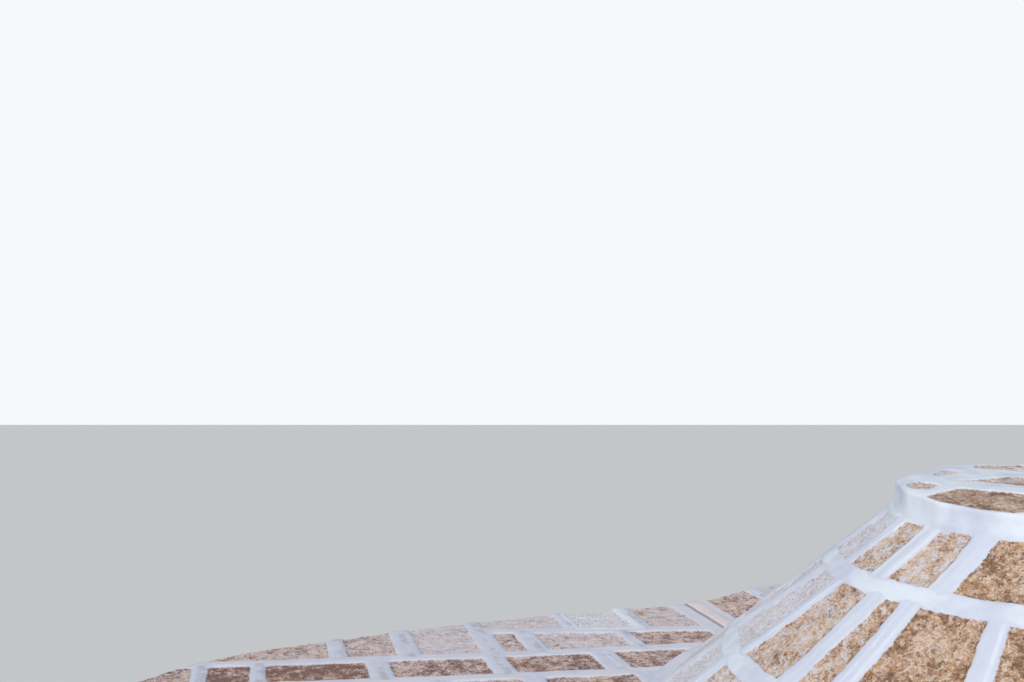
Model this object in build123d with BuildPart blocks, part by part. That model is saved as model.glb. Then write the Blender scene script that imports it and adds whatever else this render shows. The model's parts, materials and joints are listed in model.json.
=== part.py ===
"""A small trullo: a round stone cell under a stone cone, with a low apse beside it.

Millimetres, +Z up. The origin is on the ground, on the axis of the cone. +Y is the
far side of the house, -X the apse, -Y the doorway. Every piece is its own solid.
"""
import os
from math import atan, cos, degrees, pi, radians, sin
from build123d import *

os.makedirs("parts", exist_ok=True)

# Doorway
door_width = 900
door_height = 2000
frame_width = 160
frame_depth = 350
frame_proud = 25
lintel_height = 240
wall_over_lintel = 155      # wall between the lintel and the first ring of the dome

# Round cell
eaves_radius = 2430         # rim of the ledge round the cone
eaves_overhang = 40         # how far the rim slabs pass the wall below
room_radius = 1550
floor_thickness = 120

# Cone of stone slabs, laid as flat sides that meet at corners
sides = 24
cone_radius = 1700          # corners of the cone where it meets the deck
cone_slope = 0.876          # rise for each unit of run along a corner
slab_thickness = 90         # measured upright
upper_joint_radius = 820    # inner edges of the white joints between courses
lower_joint_radius = 1280
joint_width = 75
joint_proud = 8             # how far the white joints stand above the slabs
ledge_rise = 80             # how far the ledge round the cone stands above the deck
kink_angle = 118            # where the ledge meets the deck of the apse

# Cap, whose top falls a little towards the doorway
cap_radius = 575
drum_height = 45
cap_thickness = 55
cap_fall = 0.07
collar_width = 45
collar_height = 30

# Corbelled dome inside
ring_height = 205
ring_step = 190             # how far each ring reaches past the one below
first_ring_radius = 1400
rings_below_deck = 3
rings_above_deck = 4

# Apse beside the cell
apse_centre = 3010          # distance of its centre from the cone's axis, along -X
apse_radius = 1390          # rim of its deck
apse_shoulder_angle = 108.45    # where the round end meets the long side, about its centre
apse_side_end_angle = 116.57    # where the long side meets the cell, about the cone's axis
apse_side_inset = 15        # how far inside the rim of the cell it ends
apse_side_bow = 91          # how far the long side bows out
apse_wall_thickness = 590
alcove_springing = 1500

# Passage from the cell to the alcove
passage_width = 1200
passage_springing = 1450
arch_bearing = 150

# Sizes that follow from those above
lintel_top = door_height + lintel_height
springing = lintel_top + wall_over_lintel
roof_bed = springing + rings_below_deck * ring_height
deck_level = roof_bed + slab_thickness
dome_top = roof_bed + rings_above_deck * ring_height
wall_radius = eaves_radius - eaves_overhang
alcove_radius = apse_radius - eaves_overhang - apse_wall_thickness
passage_half = passage_width / 2
arch_half = passage_half + arch_bearing
door_half = door_width / 2
frame_half = door_half + frame_width
frame_front = -(wall_radius + frame_proud)
frame_back = frame_front + frame_depth
side_lean = degrees(atan(cos(pi / sides) / cone_slope))


def cone_height(radius):
    """Height of the cone's corners at a distance from the axis."""
    return deck_level + (cone_radius - radius) * cone_slope


def cone_reach(height):
    """Distance of the cone's corners from the axis at a height."""
    return cone_radius - (height - deck_level) / cone_slope


def bed_radius(height):
    """Distance from the axis at which the underside of the cladding has a height."""
    return cone_reach(height + slab_thickness)


def save(piece, name):
    piece.part.label = name
    export_step(piece.part, f"parts/{name}.step")


def block(x_low, x_high, y_low, y_high, z_low, z_high, mode=Mode.ADD):
    """Adds an upright block to the piece being made, or cuts or keeps that much of it."""
    with BuildSketch(Plane.XY.offset(z_low)) as plan:
        with Locations(((x_low + x_high) / 2, (y_low + y_high) / 2)):
            Rectangle(x_high - x_low, y_high - y_low)
    extrude(plan.sketch, amount=z_high - z_low, mode=mode)


def wall_ring(z_low, z_high):
    """Adds the round wall of the cell between two heights."""
    with BuildSketch(Plane.XY.offset(z_low)) as plan:
        Circle(wall_radius)
        Circle(room_radius, mode=Mode.SUBTRACT)
    extrude(plan.sketch, amount=z_high - z_low)


def prism(radius, z_low, z_high, mode=Mode.ADD):
    """Adds or cuts an upright many-sided block round the cone's axis."""
    with BuildSketch(Plane.XY.offset(z_low)) as plan:
        RegularPolygon(radius, sides)
    extrude(plan.sketch, amount=z_high - z_low, mode=mode)


def leaning_prism(radius, z_low, z_high, mode=Mode.ADD):
    """Adds or cuts a many-sided block whose sides lean in as the cone's do."""
    with BuildSketch(Plane.XY.offset(z_low)) as plan:
        RegularPolygon(radius, sides)
    extrude(plan.sketch, amount=z_high - z_low, taper=side_lean, mode=mode)


def apse_plan(inset):
    """Draws the apse inside its rim by an inset, on past the rim of the cell."""
    shoulder = Vector(-apse_centre, 0) + Vector(apse_radius, 0).rotate(Axis.Z, apse_shoulder_angle)
    end = Vector(eaves_radius - apse_side_inset, 0).rotate(Axis.Z, apse_side_end_angle)
    across = (end - shoulder).normalized().rotate(Axis.Z, 90)
    middle = (shoulder + end) / 2 + across * apse_side_bow
    with BuildLine() as rim:
        far = ThreePointArc(end, middle, shoulder)
        tip = ThreePointArc(far @ 1, (-apse_centre - apse_radius, 0), (shoulder.X, -shoulder.Y))
        near = ThreePointArc(tip @ 1, (middle.X, -middle.Y), (end.X, -end.Y))
        Line(near @ 1, far @ 0)
    make_face(rim.edges())
    if inset:
        offset(amount=-inset)


def alcove_plan(mode=Mode.ADD):
    """Draws the floor plan of the alcove, with its round end."""
    with Locations((-apse_centre, 0)):
        Circle(alcove_radius, mode=mode)
    with Locations((-apse_centre / 2, 0)):
        Rectangle(apse_centre, 2 * alcove_radius, mode=mode)


def apse_side_of_kinks(mode):
    """Keeps or cuts the part of a roof plan on the apse's side of the two kinks."""
    reach = 2 * (apse_centre + apse_radius)
    kink_x, kink_y = reach * cos(radians(kink_angle)), reach * sin(radians(kink_angle))
    with BuildLine() as wedge:
        Polyline((0, 0), (kink_x, kink_y), (-reach, 0), (kink_x, -kink_y), close=True)
    make_face(wedge.edges(), mode=mode)


# Floors
with BuildPart() as cell_floor:
    with BuildSketch():
        Circle(room_radius)
    extrude(amount=floor_thickness)
save(cell_floor, "cell_floor")

with BuildPart() as door_sill:
    with BuildSketch():
        with Locations((0, frame_front / 2)):
            Rectangle(door_width, -frame_front)
        Circle(room_radius, mode=Mode.SUBTRACT)
    extrude(amount=floor_thickness)
save(door_sill, "door_sill")

with BuildPart() as passage_floor:
    wall_ring(0, floor_thickness)
    block(-wall_radius, 0, -passage_half, passage_half, 0, floor_thickness, Mode.INTERSECT)
save(passage_floor, "passage_floor")

with BuildPart() as alcove_floor:
    with BuildSketch():
        alcove_plan()
        Circle(wall_radius, mode=Mode.SUBTRACT)
    extrude(amount=floor_thickness)
save(alcove_floor, "alcove_floor")

# Round wall in four quarters, with the doorway and the passage left out
quarters = {
    "wall_right_near": (1, -1),
    "wall_right_far": (1, 1),
    "wall_left_far": (-1, 1),
    "wall_left_near": (-1, -1),
}
for name, (side_x, side_y) in quarters.items():
    with BuildPart() as quarter:
        wall_ring(0, springing)
        block(min(0, side_x) * wall_radius, max(0, side_x) * wall_radius,
              min(0, side_y) * wall_radius, max(0, side_y) * wall_radius,
              0, springing, Mode.INTERSECT)
        if side_y < 0:
            block(-door_half, door_half, frame_front, 0, 0, springing, Mode.SUBTRACT)
            block(-frame_half, frame_half, frame_front, frame_back, 0, lintel_top, Mode.SUBTRACT)
        if side_x < 0:
            block(-wall_radius, 0, -passage_half, passage_half, 0, springing, Mode.SUBTRACT)
            block(-wall_radius, 0, -arch_half, arch_half, passage_springing, springing, Mode.SUBTRACT)
    save(quarter, name)

with BuildPart() as wall_over_door:
    wall_ring(door_height, springing)
    block(-door_half, door_half, frame_front, 0, door_height, springing, Mode.INTERSECT)
    block(-door_half, door_half, frame_front, frame_back, door_height, lintel_top, Mode.SUBTRACT)
save(wall_over_door, "wall_over_door")

with BuildPart() as passage_arch:
    wall_ring(passage_springing, springing)
    block(-wall_radius, 0, -arch_half, arch_half, passage_springing, springing, Mode.INTERSECT)
    with BuildSketch(Plane.YZ):
        with Locations((0, passage_springing)):
            Circle(passage_half)
    extrude(amount=-wall_radius, mode=Mode.SUBTRACT)
save(passage_arch, "passage_arch")

# Stone frame of the doorway
for name, side in {"door_jamb_left": -1, "door_jamb_right": 1}.items():
    with BuildPart() as jamb:
        block(min(side * door_half, side * frame_half), max(side * door_half, side * frame_half),
              frame_front, frame_back, 0, door_height)
    save(jamb, name)

with BuildPart() as door_lintel:
    block(-frame_half, frame_half, frame_front, frame_back, door_height, lintel_top)
save(door_lintel, "door_lintel")

# Apse with its vaulted alcove: low walls, then two halves of a vault that meet at the crown
for name, side in {"far": 1, "near": -1}.items():
    with BuildPart() as apse_wall:
        with BuildSketch():
            apse_plan(eaves_overhang)
            Circle(wall_radius, mode=Mode.SUBTRACT)
            alcove_plan(Mode.SUBTRACT)
            with Locations((-apse_centre, side * apse_centre / 2)):
                Rectangle(2 * apse_centre, apse_centre, mode=Mode.INTERSECT)
        extrude(amount=alcove_springing)
    save(apse_wall, f"apse_wall_{name}")

with BuildPart() as alcove_crown:
    with BuildSketch(Plane.XY.offset(alcove_springing)):
        alcove_plan()
    extrude(amount=alcove_radius)
    with BuildSketch(Plane.YZ):
        with Locations((0, alcove_springing)):
            Circle(alcove_radius)
    extrude(amount=-apse_centre - apse_radius, mode=Mode.INTERSECT)

for name, side in {"far": 1, "near": -1}.items():
    with BuildPart() as apse_vault:
        with BuildSketch(Plane.XY.offset(alcove_springing)):
            apse_plan(eaves_overhang)
            Circle(wall_radius, mode=Mode.SUBTRACT)
            with Locations((-apse_centre, side * apse_centre / 2)):
                Rectangle(2 * apse_centre, apse_centre, mode=Mode.INTERSECT)
        extrude(amount=roof_bed - alcove_springing)
        add(alcove_crown.part, mode=Mode.SUBTRACT)
    save(apse_vault, f"apse_vault_{name}")

with BuildPart() as apse_deck:
    with BuildSketch(Plane.XY.offset(roof_bed)):
        apse_plan(0)
        Circle(eaves_radius)
        apse_side_of_kinks(Mode.INTERSECT)
        RegularPolygon(cone_radius, sides, mode=Mode.SUBTRACT)
    extrude(amount=slab_thickness)
save(apse_deck, "apse_deck")

# Ledge of slabs round the foot of the cone, a step above the deck
for name, side in {"ledge_far": 1, "ledge_near": -1}.items():
    with BuildPart() as ledge:
        with BuildSketch(Plane.XY.offset(roof_bed)):
            Circle(eaves_radius)
            apse_side_of_kinks(Mode.SUBTRACT)
            with Locations((0, side * eaves_radius / 2)):
                Rectangle(2 * eaves_radius, eaves_radius, mode=Mode.INTERSECT)
        extrude(amount=slab_thickness + ledge_rise)
        prism(cone_radius, roof_bed, deck_level, Mode.SUBTRACT)
        leaning_prism(cone_radius, deck_level, deck_level + ledge_rise, Mode.SUBTRACT)
    save(ledge, name)

# Corbelled rings, each reaching past the one below, under a closing stone
for number in range(rings_below_deck + rings_above_deck):
    low = springing + number * ring_height
    high = low + ring_height
    with BuildPart() as dome_ring:
        if number < rings_below_deck:
            with BuildSketch(Plane.XY.offset(low)):
                Circle(wall_radius)
            extrude(amount=ring_height)
        else:
            leaning_prism(bed_radius(low), low, high)
        prism(first_ring_radius - number * ring_step, low, high, Mode.SUBTRACT)
    save(dome_ring, f"dome_ring_{number + 1}")

bed_at_cap = cone_height(cap_radius) - slab_thickness
with BuildPart() as closing_stone:
    leaning_prism(bed_radius(dome_top), dome_top, bed_at_cap)
save(closing_stone, "closing_stone")

# Courses of the cone, and the white joints between them
bands = {
    "cone_course_upper": (cap_radius, upper_joint_radius, 0),
    "cone_joint_upper": (upper_joint_radius, upper_joint_radius + joint_width, joint_proud),
    "cone_course_middle": (upper_joint_radius + joint_width, lower_joint_radius, 0),
    "cone_joint_lower": (lower_joint_radius, lower_joint_radius + joint_width, joint_proud),
    "cone_course_lower": (lower_joint_radius + joint_width, cone_radius, 0),
}
for name, (inner, outer, proud) in bands.items():
    inner_top, outer_top = cone_height(inner), cone_height(outer)
    with BuildPart() as band:
        prism(outer, outer_top - slab_thickness, outer_top + proud)
        leaning_prism(outer, outer_top + proud, inner_top + proud)
        leaning_prism(outer, outer_top - slab_thickness, inner_top - slab_thickness, Mode.SUBTRACT)
        prism(inner, outer_top - slab_thickness, inner_top + slab_thickness, Mode.SUBTRACT)
    save(band, name)

# Cap
drum_top = cone_height(cap_radius) + drum_height
with BuildPart() as cap_drum:
    prism(cap_radius, bed_at_cap, drum_top)
save(cap_drum, "cap_drum")

collar_radius = cap_radius + collar_width
collar_foot = cone_height(collar_radius)
collar_top = cone_height(cap_radius) + collar_height
collar_lean = degrees(atan(collar_width * cos(pi / sides) / (collar_top - collar_foot)))
with BuildPart() as cap_collar:
    with BuildSketch(Plane.XY.offset(collar_foot)):
        RegularPolygon(collar_radius, sides)
    extrude(amount=collar_top - collar_foot, taper=collar_lean)
    leaning_prism(collar_radius, collar_foot, cone_height(cap_radius), Mode.SUBTRACT)
    prism(cap_radius, collar_foot, collar_top, Mode.SUBTRACT)
save(cap_collar, "cap_collar")

with BuildPart() as cap_slab:
    prism(cap_radius, drum_top, drum_top + 2 * cap_thickness)
    split(bisect_by=Plane(origin=(0, 0, drum_top + cap_thickness), z_dir=(0, -cap_fall, 1)),
          keep=Keep.BOTTOM)
save(cap_slab, "cap_slab")
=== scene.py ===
"""Finish of a small trullo house: roof slabs set in raised lime, limewashed walls, stone frame.

Metres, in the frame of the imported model. A surface is a grid of points that carry the values
its finish reads: edge, how far inside a slab, below zero in the lime; tone, higher for a paler
slab; ridge, how far from a joint's ridge; crack, how far past the crack at the apse; rose, how
rosy the stone is; hollow, 1 between the stones of a wall; mortar, 1 in bare stone's joints.
"""
import json
from functools import partialmethod
from math import asin, cos, degrees, pi, radians, sin, sqrt

import bmesh
import bpy
import numpy as np
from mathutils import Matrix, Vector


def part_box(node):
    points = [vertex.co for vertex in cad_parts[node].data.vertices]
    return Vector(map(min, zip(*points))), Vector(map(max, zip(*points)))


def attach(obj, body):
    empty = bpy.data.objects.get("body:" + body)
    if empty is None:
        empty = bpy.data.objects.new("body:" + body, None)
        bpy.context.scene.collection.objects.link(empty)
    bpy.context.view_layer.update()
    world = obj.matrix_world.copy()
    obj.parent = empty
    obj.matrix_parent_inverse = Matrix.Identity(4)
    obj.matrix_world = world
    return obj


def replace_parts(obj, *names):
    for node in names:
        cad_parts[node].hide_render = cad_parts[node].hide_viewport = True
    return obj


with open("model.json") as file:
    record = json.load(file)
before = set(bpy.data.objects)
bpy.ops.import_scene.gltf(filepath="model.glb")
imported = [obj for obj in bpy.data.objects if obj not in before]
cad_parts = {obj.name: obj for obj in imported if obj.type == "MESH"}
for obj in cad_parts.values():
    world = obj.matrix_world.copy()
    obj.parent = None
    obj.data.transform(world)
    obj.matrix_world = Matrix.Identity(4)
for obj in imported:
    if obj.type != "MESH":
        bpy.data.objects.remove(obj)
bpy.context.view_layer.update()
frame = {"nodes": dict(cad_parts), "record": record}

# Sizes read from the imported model
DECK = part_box("apse_deck")[1][2]
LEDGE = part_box("ledge_far")[1][2]
ROOF_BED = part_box("apse_deck")[0][2]
CONE_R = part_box("cone_course_lower")[1][0]
CAP_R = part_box("cap_drum")[1][0]
CONE_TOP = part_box("cone_course_upper")[1][2]
SLOPE = (CONE_TOP - DECK) / (CONE_R - CAP_R)
EAVES_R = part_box("ledge_far")[1][0]
WALL_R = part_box("wall_right_far")[1][0]
APSE_TIP = -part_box("apse_deck")[0][0]
EAVES_OVERHANG = EAVES_R - WALL_R

# Outline of the apse, as in the solids
APSE_CENTRE = 3.01  # how far west of the axis the round end's middle lies
APSE_R = APSE_TIP - APSE_CENTRE
SHOULDER_ANGLE = 108.45  # about that middle, where the round end passes into the long side
SIDE_END_ANGLE = 116.57  # about the axis, where the long side ends
SIDE_INSET = 0.015  # how far inside the cell's circle it ends
SIDE_BOW = 0.091  # how far its middle bows out
KINK = 118.0  # where the deck meets the ledge
CELL_ONLY = 100  # up to this angle the rim is the cell's own circle

# Roof
ROOF_NOSE = 0.014  # rounding of the slabs' outer edge
UNDER_CONE = 0.09  # how far the roof slabs run in under the cone
LEDGE_CLIMB = 20  # degrees over which the ledge climbs from the deck
LEDGE_HEADS_R = 1.75  # where the ledge's slabs begin
LIME_RISE = 0.010  # how far the lime stands above the slabs
FOOT_LIME = 0.045  # how far lime spreads from the cone's foot
FILLET_RISE, FILLET_REACH = 0.030, 0.05  # of the lime banked against the cone's foot

# Courses of the cone
RING_JOINTS = ((0.829, 0.902), (1.280, 1.355))
SLAB_HEADS_R = 0.618  # where the upper course's slabs come out from under the collar
SOLID_SIDES = 24  # flat sides of the solid courses
CLEAR_OF_SOLID = 1.004  # how much further out than those the slabs lie
FACET_BLEND = 0.10  # how near its ends a course turns from flat slabs to round

# Cap
CAP_FALL = 0.07
CAP_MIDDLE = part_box("cap_slab")[1][2] - CAP_FALL * CAP_R
CAP_NOSE = 0.016
COLLAR_FOOT_R = 0.612
COLLAR_DRAWN_IN = 0.028  # how much narrower the collar is on the side of the apse
COLLAR_NARROW_AT = 155
COLLAR_NARROW_HALF = 35
COLLAR_LEAST = 0.004
COLLAR_TUCK = 0.022  # how far down the collar's end is tucked in behind the slabs

# Doorway and room
FRAME_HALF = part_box("door_lintel")[1][0]
LINTEL_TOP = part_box("door_lintel")[1][2]
ROOM_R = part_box("cell_floor")[1][0]
FIRST_RING_R = 1.400
RING_STEP = 0.190

HEAD, FOOT, WIDTH, TONE, RIDGE = range(5)  # what a radial joint holds
FAR = 9.0  # a distance that stands for none near by

# Large numbers that stir a lattice corner and a seed into one random value
CORNER_STIR = (73856093, 19349663, 83492791)
SEED_STIR = 97561
LAST_STIR = 1274126177
LATTICE_START = 512.5  # keeps every place on the lattice above zero


def camera():
    """The photograph's view: 31.6 mm lens, tipped up by one degree."""
    picture_width, lens_pixels, tip_up = 1024, 900, 1.07
    data = bpy.data.cameras.new("camera")
    data.sensor_width = 36.0
    data.lens = data.sensor_width * lens_pixels / picture_width
    data.clip_end = 200
    seen = bpy.data.objects.new("camera", data)
    seen.location = (-2.29, -3.91, 4.75)
    seen.rotation_euler = (pi / 2 + radians(tip_up), 0, 0)
    bpy.context.collection.objects.link(seen)
    bpy.context.scene.camera = seen


# Shapes

def grain(points, size, seed):
    """Smooth random values from -1 to 1: random numbers at the corners of a cubic lattice of
    this size, blended across each cell by the curve 3t^2 - 2t^3."""
    place = points / size + LATTICE_START
    cell = np.floor(place).astype(np.int64)
    part = place - cell
    part = part * part * (3 - 2 * part)
    total = np.zeros(points.shape[:-1])
    for corner in np.ndindex(2, 2, 2):
        key = seed * SEED_STIR
        weight = np.ones(points.shape[:-1])
        for i in range(3):
            key = key ^ ((cell[..., i] + corner[i]) * CORNER_STIR[i])
            weight = weight * (part[..., i] if corner[i] else 1 - part[..., i])
        key = ((key ^ (key >> 13)) * LAST_STIR) & 0x7FFFFFFF
        value = ((key ^ (key >> 15)) & 0xFFFF) / 32767.5 - 1
        total += weight * value
    return total


def rough(points, size, seed, octaves=3):
    """Sum of grain at halving sizes and halving heights."""
    return sum(grain(points, size / 2 ** k, seed + k) / 2 ** k for k in range(octaves))


def smooth_step(value):
    """0 below 0, 1 above 1, and 3t^2 - 2t^3 between."""
    t = np.clip(value, 0, 1)
    return t * t * (3 - 2 * t)


def in_plan(radius, theta):
    """x and y at a distance from the axis in a direction."""
    return radius * np.cos(theta), radius * np.sin(theta)


def even_out(values):
    """Each value round a ring as the mean of itself and two neighbours on either side."""
    return sum(np.roll(values, k) for k in range(-2, 3)) / 5


def quads(index):
    """Four-sided faces between the neighbours of a grid of point numbers."""
    corners = [index[:-1, :-1], index[1:, :-1], index[1:, 1:], index[:-1, 1:]]
    return np.stack(corners, axis=-1).reshape(-1, 4)


def surface(name, points, finish, slot, wrap=False, pole=False, keep=None, **values):
    """Mesh of a grid of points, rows running outwards or down and columns anticlockwise, with
    one value for each point under each name given. It has only the faces asked for and the
    points that they use."""
    rows, columns = points.shape[:2]
    index = np.arange(rows * columns).reshape(rows, columns)
    if wrap:
        index = np.hstack([index, index[:, :1]])
    faces = quads(index)
    faces = faces if keep is None else faces[keep.ravel()]
    used, corners = np.unique(faces, return_inverse=True)
    mesh = bpy.data.meshes.new(name)
    mesh.from_pydata(points.reshape(-1, 3)[used].tolist(), [], corners.reshape(-1, 4).tolist())
    for key, value in values.items():
        layer = mesh.attributes.new(key, "FLOAT", "POINT")
        spread = np.broadcast_to(value, (rows, columns)).ravel()[used]
        layer.data.foreach_set("value", spread.astype(np.float32))
    if pole:
        close_doubles(mesh)
    return piece(name, mesh, finish)


def close_doubles(mesh):
    """Merges the points that lie on each other, as at a pole."""
    shape = bmesh.new()
    shape.from_mesh(mesh)
    bmesh.ops.remove_doubles(shape, verts=shape.verts, dist=1e-5)
    shape.to_mesh(mesh)
    shape.free()


def piece(name, mesh, finish):
    """Object of one mesh and one finish, fixed to the house."""
    mesh.shade_smooth()
    mesh.materials.append(finish)
    made = bpy.data.objects.new(name, mesh)
    bpy.context.collection.objects.link(made)
    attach(made, "root")
    return made


# Slabs and joints

# Joints out of view: limits of their share of the pitch, turn to the foot, and width, tone and
# ridge
JOINT_STEPS = (0.7, 1.3)
JOINT_TURNS = (-6, -1)
JOINT_DRAWS = ((0.075, 0.095), (0, 0.8), (-0.025, 0.030))


def joints_round(seen, pitch, seed, tone_before):
    """Joints of one course: those that the photograph shows, as (angle at the head, angle at
    the foot, width, tone of the slab beyond, place of the ridge beside the joint's middle),
    then others at about this pitch, the last of them with the tone before the first."""
    random = np.random.default_rng(seed)
    gap = 360 - (seen[-1][HEAD] - seen[0][HEAD])
    steps = random.uniform(*JOINT_STEPS, round(gap / pitch))
    heads = seen[-1][HEAD] + np.cumsum(steps * gap / steps.sum())[:-1]
    rest = [[a, a + random.uniform(*JOINT_TURNS)] + [random.uniform(*ends) for ends in JOINT_DRAWS]
            for a in heads]
    joints = np.array([list(joint) for joint in seen] + rest)
    joints[-1, TONE] = tone_before
    return joints


def across_ring(angle, radius, share, joints):
    """On a ring of slabs: distance inside the nearest joint's edge, offset from that joint's
    middle, slab number, and the angles back and on to the slab's joints."""
    middle = joints[:, HEAD] + (joints[:, FOOT] - joints[:, HEAD]) * share[..., None]
    turn = (angle[..., None] - middle) % 360
    back, number = turn.min(axis=-1), turn.argmin(axis=-1)
    ahead = 360 - turn.max(axis=-1)
    following = turn.argmax(axis=-1)
    arc = np.radians(1) * radius
    from_back = back * arc - joints[number, WIDTH] / 2
    from_ahead = ahead * arc - joints[following, WIDTH] / 2
    offset = np.where(back < ahead, back, -ahead) * arc
    return np.minimum(from_back, from_ahead), offset, number, back, ahead


def relief(points, edge, beyond=FAR, reach=0.0):
    """Height of slabs and lime above their bed: pitted slabs, and lime raised softly, a step
    lower beyond each joint's ridge."""
    swell, pit_depth, coat_step = 0.0030, 0.004, 0.0022
    lime = smooth_step(0.5 - edge / 0.020)
    slab_height = swell * rough(points, 0.055, 61) + 0.001
    slab_height -= pit_depth * smooth_step((grain(points, 0.030, 70) - 0.35) * 2.5)
    lime_height = LIME_RISE + swell * rough(points, 0.11, 81, 2)
    lime_height -= coat_step * reach * smooth_step(beyond / 0.012) * smooth_step(2 - beyond / 0.04)
    return slab_height + (lime_height - slab_height) * lime


def ragged(points, edge):
    """Edge of the slabs, made uneven as lime spreads over them here and there."""
    return edge + 0.0045 * rough(points, 0.08, 91) + 0.0020 * grain(points, 0.015, 96)


# Cone

def cone_height(radius):
    """Height of the cone's face: deck + (cone radius - r) slope."""
    return DECK + (CONE_R - radius) * SLOPE


def facet_share(back, ahead, to_end):
    """Share of the round cone's radius on flat slabs: cos(half the slab's angle) over cos(angle
    from its middle), eased to one even share at the ends of the course."""
    half, off_middle = np.radians((back + ahead) / 2), np.radians((back - ahead) / 2)
    flat = np.cos(half) / np.cos(off_middle)
    even = cos(pi / SOLID_SIDES) * CLEAR_OF_SOLID
    return even + (flat - even) * smooth_step(to_end / FACET_BLEND)


def cone_course(name, ends, slab_ends, joints, columns, rows, finish):
    """One course of the cone between two distances from the axis, on flat slabs whose corners
    lie at their joints, with the relief laid off along the cone's normal."""
    (head, foot), (slab_head, slab_foot) = ends, slab_ends
    angle, radius = np.meshgrid(np.arange(columns) * 360 / columns, np.linspace(head, foot, rows))
    share = np.clip((radius - slab_head) / (slab_foot - slab_head), 0, 1)
    inside, offset, number, back, ahead = across_ring(angle, radius, share, joints)
    drawn = radius * facet_share(back, ahead, np.minimum(radius - head, foot - radius))
    out_x, out_y = in_plan(1, np.radians(angle))
    points = np.stack([drawn * out_x, drawn * out_y, cone_height(radius)], axis=-1)
    stretch = sqrt(1 + SLOPE ** 2)
    to_slab_end = np.minimum(radius - slab_head, slab_foot - radius)
    edge = ragged(points, np.minimum(inside, to_slab_end * stretch))
    normal = np.stack([SLOPE * out_x, SLOPE * out_y, np.ones_like(out_x)], axis=-1) / stretch
    reach = smooth_step(to_slab_end / 0.03 + 1)
    beyond = offset - joints[number, RIDGE]
    points = points + normal * relief(points, edge, beyond, reach)[..., None]
    ridge = np.abs(beyond) + 0.08 * (1 - reach)
    return surface(name, points, finish, "roof_slabs", wrap=True, edge=edge,
                   tone=joints[number, TONE], ridge=ridge, crack=FAR, rose=0.15)


# Rim of the roof

def arc_through(a, b, c):
    """Centre and radius of the circle through three points."""
    (ax, ay), (bx, by), (cx, cy) = a, b, c
    d = 2 * (ax * (by - cy) + bx * (cy - ay) + cx * (ay - by))
    a2, b2, c2 = ax * ax + ay * ay, bx * bx + by * by, cx * cx + cy * cy
    x = (a2 * (by - cy) + b2 * (cy - ay) + c2 * (ay - by)) / d
    y = (a2 * (cx - bx) + b2 * (ax - cx) + c2 * (bx - ax)) / d
    return x, y, sqrt((ax - x) ** 2 + (ay - y) ** 2)


def far_reach(angle, centre_x, centre_y, radius):
    """Distance from the axis to the far side of a circle, in a direction."""
    theta = np.radians(angle)
    along = centre_x * np.cos(theta) + centre_y * np.sin(theta)
    away = centre_x ** 2 + centre_y ** 2 - along ** 2
    return along + np.sqrt(np.maximum(radius ** 2 - away, 0))


def from_x_axis(angle):
    """Degrees between a direction and the x axis, from 0 to 180."""
    return np.abs((np.asarray(angle, float) + 180) % 360 - 180)


def rim_reach(angle, inset=0.0):
    """Distance from the axis to the rim of the roof, drawn in by an inset: the cell's circle,
    then the long side and the round end of the apse, mirrored about its middle."""
    turned = from_x_axis(angle)
    shoulder = -APSE_CENTRE + APSE_R * np.exp(1j * radians(SHOULDER_ANGLE))
    end = (EAVES_R - SIDE_INSET) * np.exp(1j * radians(SIDE_END_ANGLE))
    middle = (shoulder + end) / 2 + 1j * (end - shoulder) / abs(end - shoulder) * SIDE_BOW
    side_x, side_y, side_r = arc_through(*((p.real, p.imag) for p in (end, middle, shoulder)))
    side = far_reach(turned, side_x, side_y, side_r - inset)
    tip = far_reach(turned, -APSE_CENTRE, 0, APSE_R - inset)
    apse = np.where(turned > np.degrees(np.angle(shoulder)), tip, side)
    cell = EAVES_R - inset
    return np.where(turned < CELL_ONLY, cell, np.maximum(cell, apse))


# Rows of the deck: height in plan of each white line at the row origin, and its slope
ROW_ORIGIN = -2.0
ROW_LINES = [(1.546, 0.047), (1.158, 0.134), (0.803, 0.123), (0.435, 0.118), (0.065, 0.112),
             (-0.305, 0.105), (-0.675, 0.098), (-1.050, 0.090), (-1.430, 0.080), (-1.800, 0.060)]
ROW_ENDS = (1.80, -2.0)  # middles of the first and the last row at the row origin
FIRST_ROW_SLOPE = 0.065
ROW_BEND = 0.011
ROW_JOINT = 0.092
ROW_RAKE = -0.27
FIRST_LINE_END = -2.50  # the first line stops here, and one slab fills both rows

# Joints across the rows that the photograph shows: (x at the middle of the row, width)
SEEN_CROSS_JOINTS = {
    0: [(-3.43, 0.094), (-3.035, 0.130), (-2.565, 0.094), (-1.972, 0.083), (-1.540, 0.100)],
    1: [(-3.307, 0.094), (-2.914, 0.130), (-2.436, 0.135), (-2.183, 0.122), (-1.587, 0.086)],
    2: [(-3.898, 0.074), (-3.603, 0.076), (-2.983, 0.120), (-2.353, 0.121), (-1.754, 0.140)],
    3: [(-3.85, 0.090), (-3.25, 0.090), (-2.62, 0.100), (-2.144, 0.120), (-1.565, 0.110)],
}

# How pale the slabs of those rows are, westernmost first
SEEN_TONES = {
    0: [0.50, 0.60, 0.88, 0.91, 1.12, 0.74],
    1: [0.50, 0.60, 0.88, 0.55, 0.84, 0.30],
    2: [0.35, -0.40, -0.30, 0.25, 0.15, 0.20],
    3: [0.25, 0.30, 0.20, 0.40, 0.15, 0.30],
}

# Limits for the rows out of view
CROSS_FROM = -4.4
CROSS_STARTS = (0, 0.3)
CROSS_STEPS = (0.36, 0.66)
CROSS_WIDTHS = (0.075, 0.11)
CROSS_COUNT = 8
DECK_TONES = (0, 0.9)
TONES_IN_ROW = 12  # more than a row has slabs


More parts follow.
